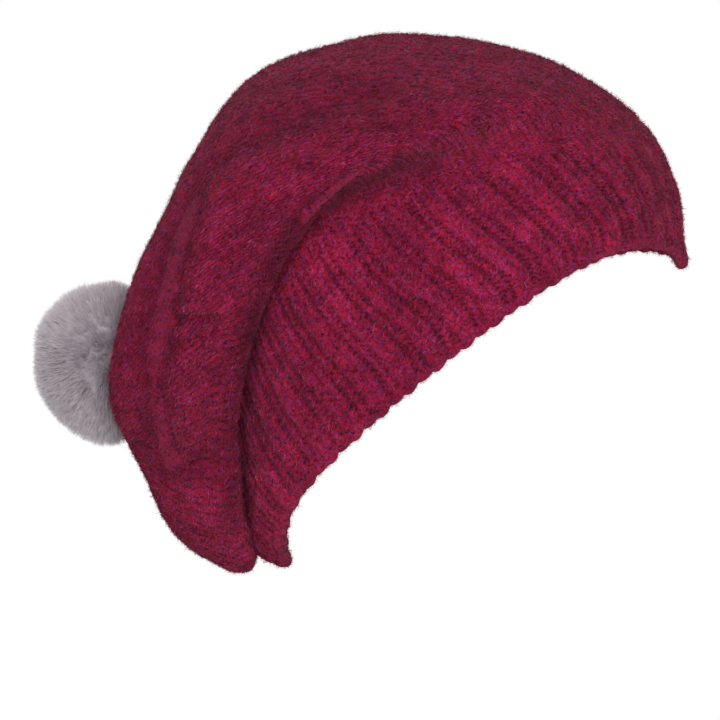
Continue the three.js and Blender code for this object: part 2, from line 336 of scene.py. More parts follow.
def grid_quads(rows, cols, close_rows=False):
    """Quads of a grid whose columns run all the way round."""
    r = np.arange(rows if close_rows else rows - 1)[:, None]
    c = np.arange(cols)[None, :]
    r2, c2 = (r + 1) % rows, (c + 1) % cols
    return np.stack([r * cols + c, r * cols + c2, r2 * cols + c2, r2 * cols + c], -1).reshape(-1, 4)


class Knit:
    """The outer face of a knitted panel, kept for the fuzz that grows on it."""

    def __init__(self, s0, s1, cols, rows, relief):
        s = np.linspace(s0, s1, rows + 1)
        u = np.arange(cols) / cols
        self.u, self.s = np.meshgrid(u, s)
        self.angle = angle_of(self.u, self.s)
        base = hat(self.angle, self.s)
        self.round, self.up, self.out = hat_frame(self.angle, self.s)
        jitter = stitch_jitter(base)
        lift = relief(self.u, self.s, jitter)
        # Stitch height, which the materials turn into painted shade between the stitches.
        self.height = np.clip(0.5 + (lift - RIB_HIGH * MM * 0.35 * (rib(self.u) - 0.5)
                                     * (1 - smooth(self.s, 0.24, 0.30))) / (1.7 * MM), 0, 1)
        lift = lift + sum(high * waves(base, size * MM, seed) for high, size, seed in UNEVEN) * MM
        drawn, dark = folds(base, self.out, self.s), crease(base)
        self.p = base + self.out * (lift - drawn - CREASE_DIP * dark)[..., None]
        # Painted shade: the colour is darkened where the folds draw the cloth in and along the crease.
        self.shade = (1 - 0.42 * smooth(drawn, 0.6 * MM, 6 * MM)) * (1 - CREASE_PAINTED_SHADE * dark)


def points_tree(grid, chosen, step=3):
    spots = grid[chosen][::step]
    tree = KDTree(len(spots))
    for i, v in enumerate(spots):
        tree.insert(v, i)
    tree.balance()
    return tree


def paint_crease_shade(band, bag):
    """Paints shade on the band and the bag's turned-in edge where one lies close over the other."""
    for k, mine, other, theirs in ((band, band.s > 0.04, bag, (bag.s > 0.345) & (bag.s < 0.43)),
                                   (bag, bag.s < 0.385, band, band.s < 0.225)):
        tree = points_tree(other.p, theirs)
        rows, cols = np.nonzero(mine)
        gap = np.array([tree.find(v)[2] for v in k.p[rows, cols]])
        k.shade[rows, cols] *= CREASE_PAINTED_DARK + (1 - CREASE_PAINTED_DARK) * smooth(gap, 1.5 * MM, CREASE_WIDE)


def edge_grid(cols, sides):
    """The cast-on edge, as rows of points that carry the band's face round under the rim."""
    u = np.arange(cols) / cols
    s = np.full(cols, EDGE_AT)
    a = angle_of(u, s)
    round_, up, out = hat_frame(a, s)
    base = hat(a, s)
    jitter = stitch_jitter(base)
    face = band_relief(u, np.full(cols, BAND_FROM), jitter)
    bead = np.abs(np.sin(math.pi * u * REPEATS * 2 + 0.4)) ** 0.55
    drop = (-0.3 + 1.6 * bead + 0.6 * rib(u)) * MM
    points, ways = [], []
    for k in range(sides):
        t = TURN * k / sides
        flat = np.sign(math.cos(t)) * abs(math.cos(t)) ** 0.9
        high = KNIT * 0.46 * flat + (0 if flat > 0 else 1) * drop * flat
        lean = math.sin(t)
        thick = KNIT / 2 * (1.04 if flat > 0 else 1.0) * np.sign(lean) * abs(lean) ** 0.75
        outer = (face + 0.12 * MM) * max(0.0, lean)
        n = waves(base + 0.01 * k, 2.6 * MM, 8) * 0.14 * MM
        points.append(base + out * (-KNIT / 2 + thick + outer + n)[:, None] + up * high[:, None])
        ways.append(unit(out * lean + up * flat))
    return np.array(points), np.array(ways), round_, up, bead


def knit_panel(name, outer, inner_rows, mat, node):
    """A closed panel: the outer face, a rounded end wall, the inner face and the other end."""
    s0, s1 = outer.s[0, 0], outer.s[-1, 0]
    cols = outer.s.shape[1]
    u = outer.u[0]

    def wall(k):
        """Points of an end wall from the outer face to the inner one."""
        rows = []
        for t in WALL_STEPS:
            d = depth_at(outer.s[k]) * t
            rows.append(outer.p[k] - outer.out[k] * d[:, None])
        return rows

    s = np.linspace(s1, s0, inner_rows + 1)
    uu, ss = np.meshgrid(u, s)
    a = angle_of(uu, ss)
    base = hat(a, ss)
    out = hat_frame(a, ss)[2]
    inner = base - out * (depth_at(ss) + inside_relief(uu, ss))[..., None]
    rows = [*outer.p, *wall(-1), *inner, *wall(0)[::-1]]
    ends = len(WALL_STEPS)
    wall_height = [np.full(cols, WALL_HEIGHT)] * ends
    # Painted shade of the outer face, carried on over the end walls; the inner face gets none.
    dark = [*outer.shade, *[outer.shade[-1]] * ends, *[np.ones(cols)] * len(inner),
            *[outer.shade[0]] * ends]
    height = [*outer.height, *wall_height, *[np.full(cols, INSIDE_HEIGHT)] * len(inner),
              *wall_height]
    me = fill_mesh(name, np.concatenate(rows), grid_quads(len(rows), cols, True),
                   {"height": np.concatenate(height), "shade": np.concatenate(dark)})
    ob = piece(name, me, mat, "hat")
    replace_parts(ob, node)
    return ob, inner, -out


# ---- materials ----------------------------------------------------------
def rgb(r, g, b):
    """A colour given as 8 bit values, as the linear colour that nodes use."""
    lin = [c / 12.92 if c <= 0.04045 else ((c + 0.055) / 1.055) ** 2.4
           for c in (r / 255, g / 255, b / 255)]
    return (*lin, 1)


class Nodes:
    def __init__(self, name):
        self.mat = bpy.data.materials.new(name)
        self.mat.use_nodes = True
        self.tree = self.mat.node_tree
        self.shader = self.tree.nodes["Principled BSDF"]
        self.place = self.add("ShaderNodeTexCoord").outputs["Object"]

    def add(self, kind, **props):
        n = self.tree.nodes.new(kind)
        for k, v in props.items():
            setattr(n, k, v)
        return n

    def link(self, a, b):
        self.tree.links.new(a, b)

    def noise(self, scale, detail=2.0, rough=0.5, shift=0.0, stretch=None):
        n = self.add("ShaderNodeTexNoise")
        n.inputs["Scale"].default_value = scale
        n.inputs["Detail"].default_value = detail
        n.inputs["Roughness"].default_value = rough
        m = self.add("ShaderNodeMapping")
        m.inputs["Location"].default_value = (shift, shift * 0.7, shift * 1.3)
        if stretch:
            m.inputs["Scale"].default_value = stretch
        self.link(self.place, m.inputs["Vector"])
        self.link(m.outputs["Vector"], n.inputs["Vector"])
        return n.outputs["Fac"]

    def ramp(self, value, stops):
        n = self.add("ShaderNodeValToRGB")
        el = n.color_ramp.elements
        while len(el) < len(stops):
            el.new(0.5)
        for e, (pos, colour) in zip(el, stops):
            e.position = pos
            e.color = colour if len(colour) == 4 else (*colour, 1)
        self.link(value, n.inputs["Fac"])
        return n.outputs["Color"]

    def mix(self, fac, a, b, blend="MIX"):
        n = self.add("ShaderNodeMix", data_type="RGBA", blend_type=blend)
        self.put(fac, n.inputs[0])
        self.put(a, n.inputs[6])
        self.put(b, n.inputs[7])
        return n.outputs[2]

    def math(self, op, a, b=0.0, clamp=False):
        n = self.add("ShaderNodeMath", operation=op, use_clamp=clamp)
        self.put(a, n.inputs[0])
        self.put(b, n.inputs[1])
        return n.outputs[0]

    def put(self, value, socket):
        if isinstance(value, bpy.types.NodeSocket):
            self.link(value, socket)
        else:
            socket.default_value = value

    def set(self, **values):
        for k, v in values.items():
            self.put(v, self.shader.inputs[k.replace("_", " ")])

    def mottle(self):
        """Soft lighter and darker patches about as wide as a few stitches."""
        patches = self.noise(150, 2, 0.5, shift=9.2)
        return self.ramp(patches, [(0.36, (0.80,) * 3), (0.64, (1.18,) * 3)])

    def bump(self, height, strength, distance):
        n = self.add("ShaderNodeBump")
        n.inputs["Strength"].default_value = strength
        n.inputs["Distance"].default_value = distance
        self.link(height, n.inputs["Height"])
        self.link(n.outputs["Normal"], self.shader.inputs["Normal"])


RED, CRIMSON, WINE = rgb(198, 26, 52), rgb(147, 27, 66), rgb(112, 24, 58)
MAGENTA, PLUM, ROSE = rgb(162, 47, 112), rgb(44, 10, 32), rgb(206, 98, 138)
WOOL_SHEEN = rgb(196, 146, 162)


def wool(name, tone=1.0):
    """Heathered brushed yarn: flecks of red, magenta and plum, with painted shade between the
    stitches.
    """
    m = Nodes(name)
    fleck = m.noise(820, 3, 0.65)
    other = m.noise(900, 3, 0.65, shift=3.1)
    hue = m.ramp(fleck, [(0.36, WINE), (0.46, CRIMSON), (0.55, RED), (0.66, CRIMSON)])
    pink = m.ramp(other, [(0.50, (0, 0, 0)), (0.60, (1, 1, 1))])
    hue = m.mix(pink, hue, MAGENTA)
    dark = m.ramp(m.noise(780, 3, 0.65, shift=7.7), [(0.32, (1, 1, 1)), (0.44, (0, 0, 0))])
    hue = m.mix(dark, hue, PLUM)
    height = m.add("ShaderNodeAttribute", attribute_name="height").outputs["Fac"]
    # Painted shade: the gaps between stitches, where the height is low, are darkened.
    gap = m.ramp(height, [(0.10, (0.34, 0.28, 0.36)), (0.62, (1, 1, 1))])
    hue = m.mix(1.0, hue, gap, "MULTIPLY")
    broad = m.ramp(m.noise(38, 2, 0.5, shift=1.3), [(0.35, (0.80,) * 3), (0.65, (1.12,) * 3)])
    hue = m.mix(1.0, hue, broad, "MULTIPLY")
    hue = m.mix(1.0, hue, m.mottle(), "MULTIPLY")
    hue = m.mix(1.0, hue, (tone, tone, tone, 1), "MULTIPLY")
    # Painted shade of creases, folds and the edge, carried by the shade attribute.
    shade = m.add("ShaderNodeAttribute", attribute_name="shade").outputs["Fac"]
    hue = m.mix(1.0, hue, shade, "MULTIPLY")
    hair = m.noise(2600, 4, 0.7, shift=5.5)
    m.set(Base_Color=hue, Roughness=0.95, Sheen_Weight=0.3, Sheen_Roughness=0.5,
          Sheen_Tint=WOOL_SHEEN, Specular_IOR_Level=0.15)
    m.bump(hair, 0.6, 0.0006)
    return m.mat


def fibre(name, colour, tip=0.25):
    """One shade of the fuzz, varied from place to place."""
    m = Nodes(name)
    v = m.noise(900, 2, 0.5)
    lo = tuple(c * (1 - tip) for c in colour[:3])
    hi = tuple(min(1, c * (1 + tip)) for c in colour[:3])
    # Painted shade under each fibre: creases, folds, gaps between stitches, the inside and the edge.
    shade = m.add("ShaderNodeAttribute", attribute_name="shade").outputs["Fac"]
    hue = m.mix(1.0, m.ramp(v, [(0.35, lo), (0.65, hi)]), shade, "MULTIPLY")
    hue = m.mix(1.0, hue, m.mottle(), "MULTIPLY")
    m.set(Base_Color=hue, Roughness=0.85, Specular_IOR_Level=0.12, Sheen_Weight=0.15,
          Sheen_Tint=WOOL_SHEEN)
    return m.mat


# ---- fuzz ---------------------------------------------------------------
STAND = 0.55                    # how steeply the fibres stand off the cloth, as a slope
CURL, TILT = 0.55, 0.7          # spread of their sideways curl and of the strips' tilt


def ribbons(path, across, width):
    """Strips along paths (n, steps, 3), each as wide as width (steps), as points and quads."""
    n, steps, _ = path.shape
    half = across * (width / 2)[..., None]
    co = np.stack([path - half, path + half], 2).reshape(-1, 3)
    base = (np.arange(n) * steps * 2)[:, None] + (np.arange(steps - 1) * 2)[None, :]
    quads = np.stack([base, base + 1, base + 3, base + 2], -1).reshape(-1, 4)
    return co, quads


class Ground:
    """Places to grow fuzz on: grids of points with their directions and a density."""

    def __init__(self):
        self.sets = []

    def add(self, p, out, round_, up, density, shade):
        e1 = np.linalg.norm(np.roll(p, -1, 1) - p, axis=-1)[:-1]
        e2 = np.linalg.norm(p[1:] - p[:-1], axis=-1)
        weight = (e1 * e2 * density[:-1]).ravel()
        self.sets.append((p, out, round_, up, shade[..., None], weight))

    def sample(self, count, r):
        totals = np.array([s[5].sum() for s in self.sets])
        share = r.multinomial(count, totals / totals.sum())
        parts = [[], [], [], [], []]
        for (*grids, weight), k in zip(self.sets, share):
            cols = grids[0].shape[1]
            cell = np.searchsorted(np.cumsum(weight), r.uniform(0, weight.sum(), k))
            cell = np.minimum(cell, len(weight) - 1)
            i, j = cell // cols, cell % cols
            a, b = r.uniform(size=(2, k, 1))
            for store, grid in zip(parts, grids):
                j2 = (j + 1) % cols
                store.append((grid[i, j] * (1 - a) + grid[i, j2] * a) * (1 - b)
                             + (grid[i + 1, j] * (1 - a) + grid[i + 1, j2] * a) * b)
        p, out, round_, up, shade = (np.concatenate(x) for x in parts)
        return p, unit(out), unit(round_), unit(up), shade[:, 0]


def fuzz(name, ground, count, mat, seed, length=(1.0, 2.7), width=0.13, lift=0.42, steps=3):
    """Short curly fibres that lie on the knitting and cross each other."""
    r = np.random.default_rng(seed)
    p, out, round_, up, shade = ground.sample(count, r)
    turn = r.uniform(0, TURN, (count, 1))
    along = round_ * np.cos(turn) + up * np.sin(turn)
    side = np.cross(out, along)
    stand = r.normal(0, STAND, (count, 1))
    along = unit(along + out * stand)
    size = r.uniform(*length, (count, 1, 1)) * MM
    t = np.linspace(-0.5, 0.5, steps)[None, :, None]
    curl = r.normal(0, CURL, (count, 1, 1))
    arch = r.uniform(0.15, 1.0, (count, 1, 1)) * lift * MM
    free = r.uniform(-1, 1, (count, 1, 1)) * lift * MM
    path = (p[:, None] + along[:, None] * t * size + side[:, None] * curl * (t * t) * size
            + out[:, None] * (arch * (1 - 4 * t * t) + free * t + 0.12 * MM
                              + 0.22 * np.abs(stand)[:, None] * size))
    tilt = r.normal(0, TILT, (count, 1))
    across = side * np.cos(tilt) + out * np.sin(tilt)
    taper = np.sin(np.linspace(0.16, 0.84, steps) * math.pi) ** 0.6
    wide = r.uniform(0.6, 1.35, (count, 1)) * width * MM * taper[None, :]
    co, quads = ribbons(path, np.repeat(across[:, None], steps, 1), wide)
    me = fill_mesh(name, co, quads, {"shade": np.repeat(shade, steps * 2)})
    return piece(name, me, mat, "hat")


# ---- camera, light and floor --------------------------------------------
SENSOR = 36                     # camera sensor's width in millimetres
CAM_AWAY, CAM_WIDE, CAM_X, CAM_Z = 3.5, 0.2863, -0.0497, 0.0217  # distance, width seen, aim
LAMPS = (  # name, place, size in metres, power in watts
    ("key", (0.1, -2.3, 0.35), 1.0, 27), ("far_fill", (-0.5, 1.8, 0.6), 1.2, 15),
)
LAMP_AIM = (-0.04, 0, 0.04)
WORLD_SEEN, WORLD_LIT = 1.0, 0.24        # the world's strength to the camera, and as light
FLOOR_R, FLOOR_Z, FLOOR_SIDES = 1.3, -0.24, 96


def studio():
    scene = bpy.context.scene
    scene.view_settings.view_transform = "Standard"
    cam_data = bpy.data.cameras.new("camera")
    cam_data.sensor_width = SENSOR
    cam_data.lens = SENSOR * CAM_AWAY / CAM_WIDE
    cam = bpy.data.objects.new("camera", cam_data)
    cam.location = (CAM_X, -CAM_AWAY, CAM_Z)
    cam.rotation_euler = (math.radians(90), 0, 0)
    scene.collection.objects.link(cam)
    scene.camera = cam

    for name, spot, size, power in LAMPS:
        data = bpy.data.lights.new(name, "AREA")
        data.shape = "DISK"
        data.size, data.energy, data.color = size, power, (1, 1, 1)
        lamp = bpy.data.objects.new(name, data)
        lamp.location = spot
        lamp.rotation_euler = (Vector(LAMP_AIM) - Vector(spot)).to_track_quat("-Z", "Y").to_euler()
        lamp.visible_camera = False
        scene.collection.objects.link(lamp)

    world = bpy.data.worlds.new("studio")
    scene.world = world
    world.use_nodes = True
    tree = world.node_tree
    tree.nodes.clear()
    seen = tree.nodes.new("ShaderNodeBackground")
    seen.inputs["Strength"].default_value = WORLD_SEEN
    lit = tree.nodes.new("ShaderNodeBackground")
    lit.inputs["Strength"].default_value = WORLD_LIT
    path = tree.nodes.new("ShaderNodeLightPath")
    both = tree.nodes.new("ShaderNodeMixShader")
    end = tree.nodes.new("ShaderNodeOutputWorld")
    tree.links.new(path.outputs["Is Camera Ray"], both.inputs[0])
    tree.links.new(lit.outputs[0], both.inputs[1])
    tree.links.new(seen.outputs[0], both.inputs[2])
    tree.links.new(both.outputs[0], end.inputs[0])
    for b in (seen, lit):
        b.inputs["Color"].default_value = (1, 1, 1, 1)

    n = FLOOR_SIDES
    a = np.arange(n) / n * TURN
    rim = np.stack([FLOOR_R * np.cos(a), FLOOR_R * np.sin(a), np.full(n, FLOOR_Z)], -1)
    me = bpy.data.meshes.new("floor")
    me.from_pydata(rim.tolist(), [], [list(range(n))])
    m = Nodes("pale_floor")
    m.set(Base_Color=m.ramp(m.noise(3, 2), [(0.3, rgb(236, 236, 236)), (0.7, rgb(242, 242, 242))]),
          Roughness=0.9)
    me.materials.append(m.mat)
    floor = bpy.data.objects.new("floor", me)
    scene.collection.objects.link(floor)


# ---- the hat ------------------------------------------------------------
# The fuzz is painted darker over the gaps between stitches, as shade.
FUZZ_GAP_SHADE, FUZZ_RISE = 0.70, 0.70         # shade of the fuzz between stitches, and its rise on them
# The fuzz inside the hat is painted darker, as shade.
INSIDE_FUZZ, INSIDE_PAINTED_SHADE = 0.16, 0.8    # share of the fuzz that grows inside, and its shade
# The cast-on edge and its fuzz are painted a little darker, as shade.
EDGE_SHADE = 0.95
PANELS = (  # name, CAD node, slot, flat width and length, area
    ("knit_band", "ribbed_band", "band_wool", (0.64, 0.072), 0.0400),
    ("knit_bag", "slouch_bag", "bag_wool", (0.72, 0.130), 0.0760),
    ("knit_crown", "crown", "crown_wool", (0.59, 0.110), 0.0350),
)


def build_hat():
    band = Knit(BAND_FROM, BAND_TO, *BAND_GRID, band_relief)
    bag = Knit(BAND_TO + PANEL_GAP, BAG_TO, *BAG_GRID, bag_relief)
    crown = Knit(BAG_TO + PANEL_GAP, CROWN_TO, *CROWN_GRID, crown_relief)
    paint_crease_shade(band, bag)
    ground = Ground()
    for (name, node, slot, flat, area), k in zip(PANELS, (band, bag, crown)):
        ob, inner, inward = knit_panel(name, k, INNER_ROWS, wool(name + "_wool"), node)
        # Fewer fibres grow inside the fold, except towards the forehead.
        shown = 1 - 0.5 * smooth(k.s, 0.27, 0.30) * (1 - smooth(k.s, 0.34, 0.37)) \
            * (1 - smooth(np.cos(k.angle), 0.2, 0.6))
        # The fuzz carries the panel's painted shade, and more of it over the gaps between stitches.
        ground.add(k.p, k.out, k.round, k.up, shown, k.shade * (FUZZ_GAP_SHADE + FUZZ_RISE * k.height))
        uu, ss = np.meshgrid(k.u[0], np.linspace(k.s[-1, 0], k.s[0, 0], INNER_ROWS + 1))
        ring = hat_frame(angle_of(uu, ss), ss)
        thin = np.full(inner.shape[:2], INSIDE_FUZZ)
        ground.add(inner, inward, ring[0], ring[1], thin,
                   np.full(inner.shape[:2], INSIDE_PAINTED_SHADE))
    return ground


def cast_on(ground):
    """The rolled first row: a soft bead under each knit and purl pair."""
    cols, sides = BAND_GRID[0], EDGE_SIDES
    points, ways, round_, up, bead = edge_grid(cols, sides)
    # Painted shade between the beads, through the height attribute.
    tone = np.tile(0.45 + 0.5 * bead, sides)
    me = fill_mesh("knit_edge", points.reshape(-1, 3), grid_quads(sides, cols, True)[:, ::-1],
                   {"height": tone, "shade": np.full(len(tone), EDGE_SHADE)})
    ob = piece("knit_edge", me, wool("knit_edge_wool"), "hat")
    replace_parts(ob, "cast_on_edge")
    spread = np.broadcast_to(round_, points.shape)
    ground.add(points, ways, spread, np.broadcast_to(up, points.shape),
               np.ones(points.shape[:2]), np.full(points.shape[:2], EDGE_SHADE))


FUZZ = (  # name, colour, fibres, random seed
    ("fuzz_crimson", CRIMSON, 48000, 21), ("fuzz_red", RED, 46000, 22),
    ("fuzz_magenta", MAGENTA, 30000, 23), ("fuzz_plum", PLUM, 48000, 24),
    ("fuzz_wine", WINE, 40000, 26),
)


def hat_fuzz(ground):
    for name, colour, count, seed in FUZZ:
        fuzz(name, ground, count, fibre(name, colour), seed)
    fuzz("fuzz_rose", ground, 34000, fibre("fuzz_rose", ROSE), 25, length=(1.0, 3.4), width=0.065,
         lift=0.6, steps=4)


# ---- the pom-pom --------------------------------------------------------
def sphere_points(n):
    i = np.arange(n) + 0.5
    z = 1 - 2 * i / n
    a = math.pi * (1 + math.sqrt(5)) * i
    r = np.sqrt(1 - z * z)
    return np.stack([r * np.cos(a), r * np.sin(a), z], -1)


def ball_directions(rows, cols):
    """Directions from a ball's centre, row by row from the front pole to the back one."""
    v = np.linspace(0.02, math.pi - 0.02, rows)[:, None]
    a = (np.arange(cols) / cols * TURN)[None, :]
    return np.stack([-np.cos(v) + 0 * a, np.sin(v) * np.cos(a), np.sin(v) * np.sin(a)], -1)


TUFTS = 760                     # locks of the pom-pom's fur
# Reach of the fur in millimetres: plain, more round the middle, less below, more behind above,
# less low at the front so that a nod presses fewer fibres into the crown, less against the crown.
FUR_R, FUR_MIDDLE, FUR_BELOW, FUR_BEHIND, FUR_TRIM, FUR_CHEEK = 31.9, 1.4, 1.2, 2.2, 2.6, 15.5
UNDER_DEPTH = 5.5 * MM          # how far the underwool stays below the fibres' ends
FUR_WIDE = 0.21 * MM
FUR_TAPER = np.array([1, 0.95, 0.85, 0.6, 0.2])
FUR_COLOURS = rgb(146, 139, 148), rgb(224, 215, 223), rgb(255, 248, 251)    # root, middle, end
UNDER_MID = rgb(150, 144, 154)
UNDER_SPAN, STRAND_SPAN = (22, 30), (23, 33)    # where the colour changes, mm from the centre
STRANDS = (  # name, fibres, random seed, brightness
    ("fur_strands_a", 27000, 44, 1.0), ("fur_strands_b", 27000, 45, 0.92),
)


def fur_reach(d):
    """How far the fur reaches from the ball's centre in direction d."""
    r = (FUR_R + FUR_MIDDLE * smooth(d[..., 0], -0.9, -0.2)
         - FUR_BELOW * smooth(-d[..., 2], 0.2, 0.9))
    r = r + FUR_BEHIND * smooth(-d[..., 0], 0.1, 0.7) * smooth(d[..., 2], 0.05, 0.5)
    r = r - FUR_TRIM * smooth(d[..., 0], -0.1, 0.4) * smooth(-d[..., 2], 0.15, 0.7)
    cheek = smooth(d[..., 0], 0.05, 0.80)
    return (r - FUR_CHEEK * cheek) * MM


def fur_material(name, dark, mid, light, lo, hi):
    """Fur that goes from dark to light between lo and hi millimetres from the ball's centre."""
    m = Nodes(name)
    far = m.add("ShaderNodeVectorMath", operation="DISTANCE")
    m.link(m.place, far.inputs[0])
    far.inputs[1].default_value = BALL
    t = m.add("ShaderNodeMapRange")
    t.inputs["From Min"].default_value = lo * MM
    t.inputs["From Max"].default_value = hi * MM
    m.link(far.outputs["Value"], t.inputs["Value"])
    patch = m.math("MULTIPLY", m.math("SUBTRACT", m.noise(300, 3, 0.6), 0.5), 0.7)
    v = m.math("ADD", t.outputs["Result"], patch, clamp=True)
    m.set(Base_Color=m.ramp(v, [(0.0, dark), (0.5, mid), (1.0, light)]), Roughness=0.75,
          Specular_IOR_Level=0.25, Sheen_Weight=0.3, Sheen_Tint=rgb(215, 208, 216))
    return m.mat


def fur_strands(name, count, seed, shade, tufts, tuft_long):
    """Fibres that lean together in tufts, from inside the underwool to the fur's full reach."""
    r = np.random.default_rng(seed)
    d = unit(sphere_points(count) + r.normal(0, 0.02, (count, 3)))
    d = d[d[:, 0] < 0.93]
    near = np.argmax(d @ tufts.T, axis=1)
    goal = tufts[near]
    n, steps = len(d), len(FUR_TAPER)
    t = np.linspace(0, 1, steps)[None, :, None]
    far = (fur_reach(d) + (tuft_long[near] + r.normal(0, 0.3, n)) * MM)[:, None, None]
    root = 21.0 * MM * np.minimum(1, far / (25 * MM))
    pull = r.uniform(0.15, 0.6, (n, 1, 1))
    way = unit(d[:, None] * (1 - pull * t**1.5) + goal[:, None] * pull * t**1.5)
    sway = unit(np.cross(d, r.normal(size=(n, 3))))[:, None]
    path = (np.array(BALL) + way * (root + (far - root) * t)
            + sway * r.normal(0, 1.9, (n, 1, 1)) * MM * t * t
            - np.array([0, 0, 1.0]) * 0.8 * MM * t * t)
    across = unit(np.cross(way[:, 0], r.normal(size=(n, 3))))
    wide = FUR_WIDE * FUR_TAPER[None, :] * r.uniform(0.6, 1.3, (n, 1))
    co, quads = ribbons(path, np.repeat(across[:, None], steps, 1), wide)
    colours = [tuple(c * shade for c in k[:3]) + (1,) for k in FUR_COLOURS]
    piece(name, fill_mesh(name, co, quads), fur_material(name, *colours, *STRAND_SPAN),
          "pom_pom")


def build_pom():
    r = np.random.default_rng(41)
    rows, cols = 90, 180
    d = ball_directions(rows, cols)
    reach = fur_reach(d) - UNDER_DEPTH
    bump = (1.2 * waves(d * 30 * MM, 9 * MM, 42) + 0.6 * waves(d * 30 * MM, 3 * MM, 43)) * MM
    co = np.array(BALL) + d * (reach + bump)[..., None]
    me = fill_mesh("fur_underwool", co.reshape(-1, 3), grid_quads(rows, cols))
    dark, mid, _ = FUR_COLOURS
    under = piece("fur_underwool", me, fur_material("underwool", dark, UNDER_MID, mid, *UNDER_SPAN),
                  "pom_pom")
    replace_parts(under, "pom_fur")
    tufts = unit(sphere_points(TUFTS) + r.normal(0, 0.035, (TUFTS, 3)))
    tuft_long = r.normal(0, 0.3, TUFTS)
    for name, count, seed, shade in STRANDS:
        fur_strands(name, count, seed, shade, tufts, tuft_long)


# ---- the small pieces inside --------------------------------------------
def closed_tube(path, radius, sides=8, ring=False):
    """A round thread along a path of points: a closed ring, or with a cap at each end."""
    n = len(path)
    ahead = np.roll(path, -1, 0) - np.roll(path, 1, 0)
    if not ring:
        ahead[0], ahead[-1] = path[1] - path[0], path[-1] - path[-2]
    ahead = unit(ahead)
    side = unit(np.cross(ahead, [0.31, 0.11, 0.94]))
    over = np.cross(side, ahead)
    a = np.arange(sides) / sides * TURN
    co = (path[:, None] + radius * (np.cos(a)[None, :, None] * side[:, None]
                                    + np.sin(a)[None, :, None] * over[:, None])).reshape(-1, 3)
    faces = grid_quads(n, sides, ring).tolist()
    if not ring:
        faces += [list(range(sides))[::-1], list(range((n - 1) * sides, n * sides))]
    return co, faces


def joined(name, parts, mat, body):
    """One piece made of several closed threads or solids."""
    co, faces, base = [], [], 0
    for points, quads in parts:
        co.extend(np.asarray(points).tolist())
        faces.extend([[i + base for i in f] for f in quads])
        base += len(points)
    me = bpy.data.meshes.new(name)
    me.from_pydata(co, [], faces)
    me.validate()
    me.shade_smooth()
    return piece(name, me, mat, body)


def about_axis(x, radius, angle):
    """Points at a radius round the pom-pom's axis."""
    return np.stack([np.broadcast_to(x, np.shape(angle)), radius * np.cos(angle),
                     AXIS_Z + radius * np.sin(angle)], -1)


def twisted_ring(name, radius, wire, x, mat, body, node, plies=3, turns=22):
    """A plied yarn laid in a ring."""
    a = np.arange(turns * 14) / (turns * 14) * TURN
    parts = []
    for k in range(plies):
        t = turns * a + TURN * k / plies
        path = about_axis(x + wire * 0.5 * np.sin(t), radius + wire * 0.5 * np.cos(t), a)
        parts.append(closed_tube(path, wire * 0.5, 8, True))
    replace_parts(joined(name, parts, mat, body), node)


def wound_thread(name, radius, wire, x0, x1, mat, body, slot, node, turns, strands=8):
    """Thread wound round a bundle of straight stitches."""
    t = np.linspace(0, 1, turns * 20)
    x = x0 + (x1 - x0) * (0.06 + 0.88 * t)
    parts = [closed_tube(about_axis(x, radius - wire, t * turns * TURN), wire)]
    for k in range(strands):
        a = TURN * k / strands
        line = about_axis(np.linspace(x0, x1, 6), radius - 2.6 * wire, np.full(6, a))
        parts.append(closed_tube(line, wire * 0.9, 6))
    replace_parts(joined(name, parts, mat, body), node)


def turned_skin(name, profile, facets, relief, mat, body, node):
    """A solid turned about the axis from a closed list of [radius, x], with a relief on it."""
    profile = np.asarray(profile)
    a = np.arange(facets) / facets * TURN
    x = np.repeat(profile[:, 1][:, None], facets, 1)
    r = np.repeat(profile[:, 0][:, None], facets, 1)
    r = np.maximum(r + relief(r, x, a[None, :]), 0.02 * MM)
    co = np.stack([x, r * np.cos(a), AXIS_Z + r * np.sin(a)], -1)
    me = fill_mesh(name, co.reshape(-1, 3), grid_quads(len(profile), facets, True))
    ob = piece(name, me, mat, body)
    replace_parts(ob, node)
    return ob


def plain_material(name, colour, scale, depth, rough, spread=0.18, **more):
    """A matt colour with fine uneven relief, for thread, felt, skin and fibre."""
    m = Nodes(name)
    lo = tuple(c * (1 - spread) for c in colour[:3])
    hi = tuple(min(1, c * (1 + spread)) for c in colour[:3])
    m.set(Base_Color=m.ramp(m.noise(scale, 3, 0.6), [(0.35, lo), (0.65, hi)]), Roughness=rough, **more)
    m.bump(m.noise(scale * 2.4, 3, 0.6, shift=2.2), 0.5, depth)
    return m.mat


def rounded(r, x0, x1, edge, steps=10):
    """Profile of a disc with rounded edges from x0 back to x1, as [radius, x] in metres."""
    mid = (x0 + x1) / 2
    half = (x0 - x1) / 2
    inner = np.linspace(0.0, r - edge, steps)
    bend = np.linspace(0, math.pi, steps)[1:-1]
    front = [[q, mid + half] for q in inner]
    back = [[q, mid - half] for q in inner[::-1]]
    rim = [[r - edge + edge * math.sin(t), mid + half * math.cos(t)] for t in bend]
    return front + rim + back


# Places along the pom-pom's axis: rings, the two ends of each thread, and the patch's faces.
YARN_X, DRAW_X = -121.0 * MM, -133.2 * MM
SOCKET_THREAD_X, SHANK_X = (-119.2 * MM, -124.0 * MM), (-128.6 * MM, -132.6 * MM)
PATCH_R, PATCH_X, PATCH_EDGE = 12.9 * MM, (-116.45 * MM, -117.85 * MM), 0.6 * MM
YARN_R, DRAW_R, SOCKET_THREAD_R, SHANK_R = 5.0 * MM, 6.4 * MM, 2.8 * MM, 2.0 * MM


def felt_fuzz(r, x, a):
    """Fine uneven relief of the felt patch."""
    return 0.10 * MM * waves(np.stack([x, r * np.cos(a), r * np.sin(a)], -1), 2.2 * MM, 61)


